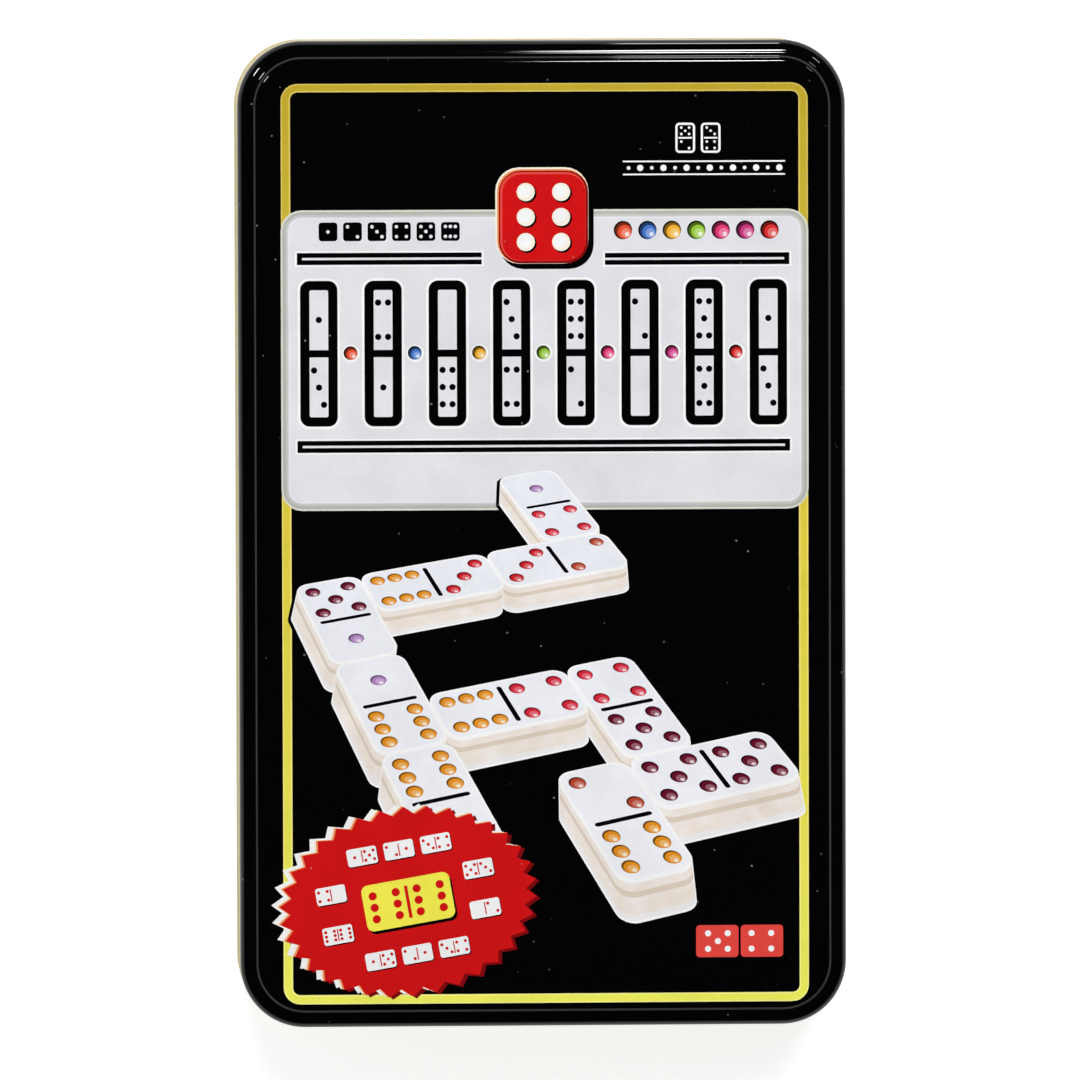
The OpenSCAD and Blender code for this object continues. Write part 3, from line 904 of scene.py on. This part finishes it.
def dress_tiles():
    """White tiles; the spots and the groove get paint where a face lies inside them."""
    white = tile_plastic("tile_white", srgb(240, 237, 228))
    groove = spot_paint("paint_groove", srgb(20, 20, 22))
    paints = {n: spot_paint(f"paint_{n}", srgb(*c)) for n, c in PAINT_COLOURS.items()}
    for a in range(7):
        for b in range(a, 7):
            node = f"tile_{a}_{b}"
            piece = dress(node, white)
            for paint in (groove, paints.get(a, groove), paints.get(b, groove)):
                piece.data.materials.append(paint)
            low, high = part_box(node)
            middle = (low + high) / 2
            half = (high.x - low.x) / 4     # from the middle to a half's middle
            for face in piece.data.polygons:
                place = face.center
                if place.z > high.z - AT_FACE * MM or place.z < high.z - SPOTS_DEEP * MM:
                    continue
                x, y = place.x - middle.x, place.y - middle.y
                if abs(x) < (GROOVE_W / 2 + BESIDE_GROOVE) * MM:
                    face.material_index = 1
                elif inside_spot(x + half, y, a):
                    face.material_index = 2
                elif inside_spot(x - half, y, b):
                    face.material_index = 3
            smooth(piece, SHARP_EDGE)


def inside_spot(x, y, count):
    """Whether a place, in metres from a half's middle, is in one of that number's spots."""
    return any(math.hypot(x - u * SPOT_PITCH * MM, y - v * SPOT_PITCH * MM) < SPOT_D / 2 * MM
               for u, v in SPOT_PLACES[count])


# ---- Stage ----

CAMERA_AT = (-0.1214, 0.1330, 2.5001)   # from the middle of the base, in metres
CAMERA_TURN = (-3.092, -2.805, -0.149)  # in degrees
PHOTO_SIDE = 1080                       # the photograph is square
FOCAL_PIXELS = 12891
SENSOR = 36.0
FLOOR_HALF = 4.0                        # half the floor's width, in metres
FLOOR_GLOW = 0.7                        # its own light, where the camera, glosses or glass see it
FAR_GLOW = 0.3                          # and how much more the camera sees far off
FAR_FROM, FAR_TO = 0.4, 2.0             # where that begins and is full, in metres
WORLD_DARK = (0.02, 0.02, 0.021, 1)
BACKDROP_WHITE, BACKDROP_DARK = 0.04, 0.18   # height of the white backdrop, as sines of the angle seen
LAMPS_AIM = (0, 0, 0.015)               # the tin's middle
MIRRORED_SHARE = 0.25                   # how strongly glosses show a split lamp
HIGHLIGHT_LAMPS = (                     # small lamps seen in glosses alone: place, size and watts
    ("streak", (0.09, 0.29, 1.0), (0.06, 0.14), 3.6),
    ("low_streak", (0.1, 1.2, 0.1), (0.05, 0.16), 0.7),
    ("corner", (-0.6, 0.5, 0.8), (0.12, 0.1), 3.6),
    ("far_corner", (0.5, 0.55, 0.8), (0.1, 0.1), 0.8))


def make_camera():
    data = bpy.data.cameras.new("camera")
    data.sensor_width = SENSOR
    data.lens = SENSOR * FOCAL_PIXELS / PHOTO_SIDE
    data.clip_start, data.clip_end = 0.1, 20
    camera = bpy.data.objects.new("camera", data)
    camera.location = CAMERA_AT
    camera.rotation_euler = Euler([math.radians(a) for a in CAMERA_TURN])
    bpy.context.scene.collection.objects.link(camera)
    bpy.context.scene.camera = camera


def softbox(name, place, size, watts):
    """An area lamp that faces the tin; place and size are in metres."""
    data = bpy.data.lights.new(name, "AREA")
    data.shape = "RECTANGLE"
    data.size, data.size_y = size
    data.energy = watts
    lamp = bpy.data.objects.new(name, data)
    lamp.location = place
    lamp.rotation_euler = (Vector(LAMPS_AIM) - Vector(place)).to_track_quat("-Z", "Y").to_euler()
    bpy.context.scene.collection.objects.link(lamp)
    return lamp


def split_softbox(name, place, size, watts):
    """A lamp that shows in glosses at a share of its strength."""
    softbox(name, place, size, watts).visible_glossy = False
    softbox(name + "_mirrored", place, size, watts * MIRRORED_SHARE).visible_diffuse = False


def make_floor():
    """A white floor that keeps the tin's shadow."""
    bm = bmesh.new()
    bmesh.ops.create_grid(bm, x_segments=1, y_segments=1, size=FLOOR_HALF)
    n = Nodes("floor_white")
    n.set(Base_Color=(0.82, 0.82, 0.82, 1), Roughness=0.9, Specular_IOR_Level=0.1)
    path = n.add("ShaderNodeLightPath")
    seen = n.math("MAXIMUM", path.outputs["Is Camera Ray"], path.outputs["Is Glossy Ray"])
    seen = n.math("MAXIMUM", seen, path.outputs["Is Transmission Ray"])
    reach = n.add("ShaderNodeVectorMath", operation="LENGTH")
    n.put(reach.inputs[0], n.place)
    share = n.spread(reach.outputs["Value"], FAR_FROM, FAR_TO, 0.0, FAR_GLOW)
    far = n.math("MULTIPLY", path.outputs["Is Camera Ray"], share)
    near = n.math("MULTIPLY", seen, FLOOR_GLOW)
    n.set(Emission_Color=(1, 1, 1, 1), Emission_Strength=n.math("ADD", near, far))
    floor = object_of(bm, "floor", [n.material])


def make_world():
    """White to the camera; to glosses and glass a white backdrop low down and dark above it."""
    world = bpy.data.worlds.new("studio")
    world.use_nodes = True
    tree = world.node_tree
    back = tree.nodes["Background"]
    path = tree.nodes.new("ShaderNodeLightPath")
    mix = tree.nodes.new("ShaderNodeMix")
    mix.data_type = "RGBA"
    mix.inputs[MIX_A].default_value = WORLD_DARK
    mix.inputs[MIX_B].default_value = (1, 1, 1, 1)

    def joined(operation, a, b):
        node = tree.nodes.new("ShaderNodeMath")
        node.operation = operation
        tree.links.new(a, node.inputs[0])
        tree.links.new(b, node.inputs[1])
        return node.outputs[0]

    way = tree.nodes.new("ShaderNodeTexCoord")
    parts = tree.nodes.new("ShaderNodeSeparateXYZ")
    backdrop = tree.nodes.new("ShaderNodeMapRange")
    backdrop.interpolation_type = "SMOOTHSTEP"
    tree.links.new(way.outputs["Generated"], parts.inputs[0])
    tree.links.new(parts.outputs["Z"], backdrop.inputs["Value"])
    for socket, number in (("From Min", BACKDROP_WHITE), ("From Max", BACKDROP_DARK),
                           ("To Min", 1.0), ("To Max", 0.0)):
        backdrop.inputs[socket].default_value = number
    mirrored = joined("MAXIMUM", path.outputs["Is Glossy Ray"], path.outputs["Is Transmission Ray"])
    mirrored = joined("MULTIPLY", mirrored, backdrop.outputs[0])
    tree.links.new(joined("MAXIMUM", path.outputs["Is Camera Ray"], mirrored), mix.inputs[0])
    tree.links.new(mix.outputs[MIX_OUT], back.inputs["Color"])
    bpy.context.scene.world = world


def make_stage():
    make_camera()
    make_floor()
    make_world()
    softbox("key", (0.1, 0.75, 1.0), (0.9, 0.7), 15).visible_glossy = False
    split_softbox("left", (-1.6, 0.0, 1.4), (2.4, 2.0), 10)
    split_softbox("near", (0.2, -1.6, 1.3), (2.4, 1.6), 10)
    for name, place, size, watts in HIGHLIGHT_LAMPS:
        softbox(name, place, size, watts).visible_diffuse = False
    bpy.context.scene.view_settings.view_transform = "Standard"


make_stage()
gold = gold_lacquer("gold_lacquer", 1.0)
# The inside faces get the same lacquer at 0.85 of its brightness: painted shade for the tin's hollow and the
# lid's underside.
gold_shaded_inside = gold_lacquer("gold_lacquer_shaded_inside", 0.85)
lid_shell(glossy_sheet("black_lacquer", srgb(3, 3, 4)), gold, gold_shaded_inside)
base_shell(gold, gold_shaded_inside)
lid_print()
leaflet_print()
dress_tiles()
smooth(dress("tray", formed_plastic("tray_black")), SHARP_EDGE)
smooth(dress("leaflet", paper("leaflet_paper")), SHARP_EDGE)
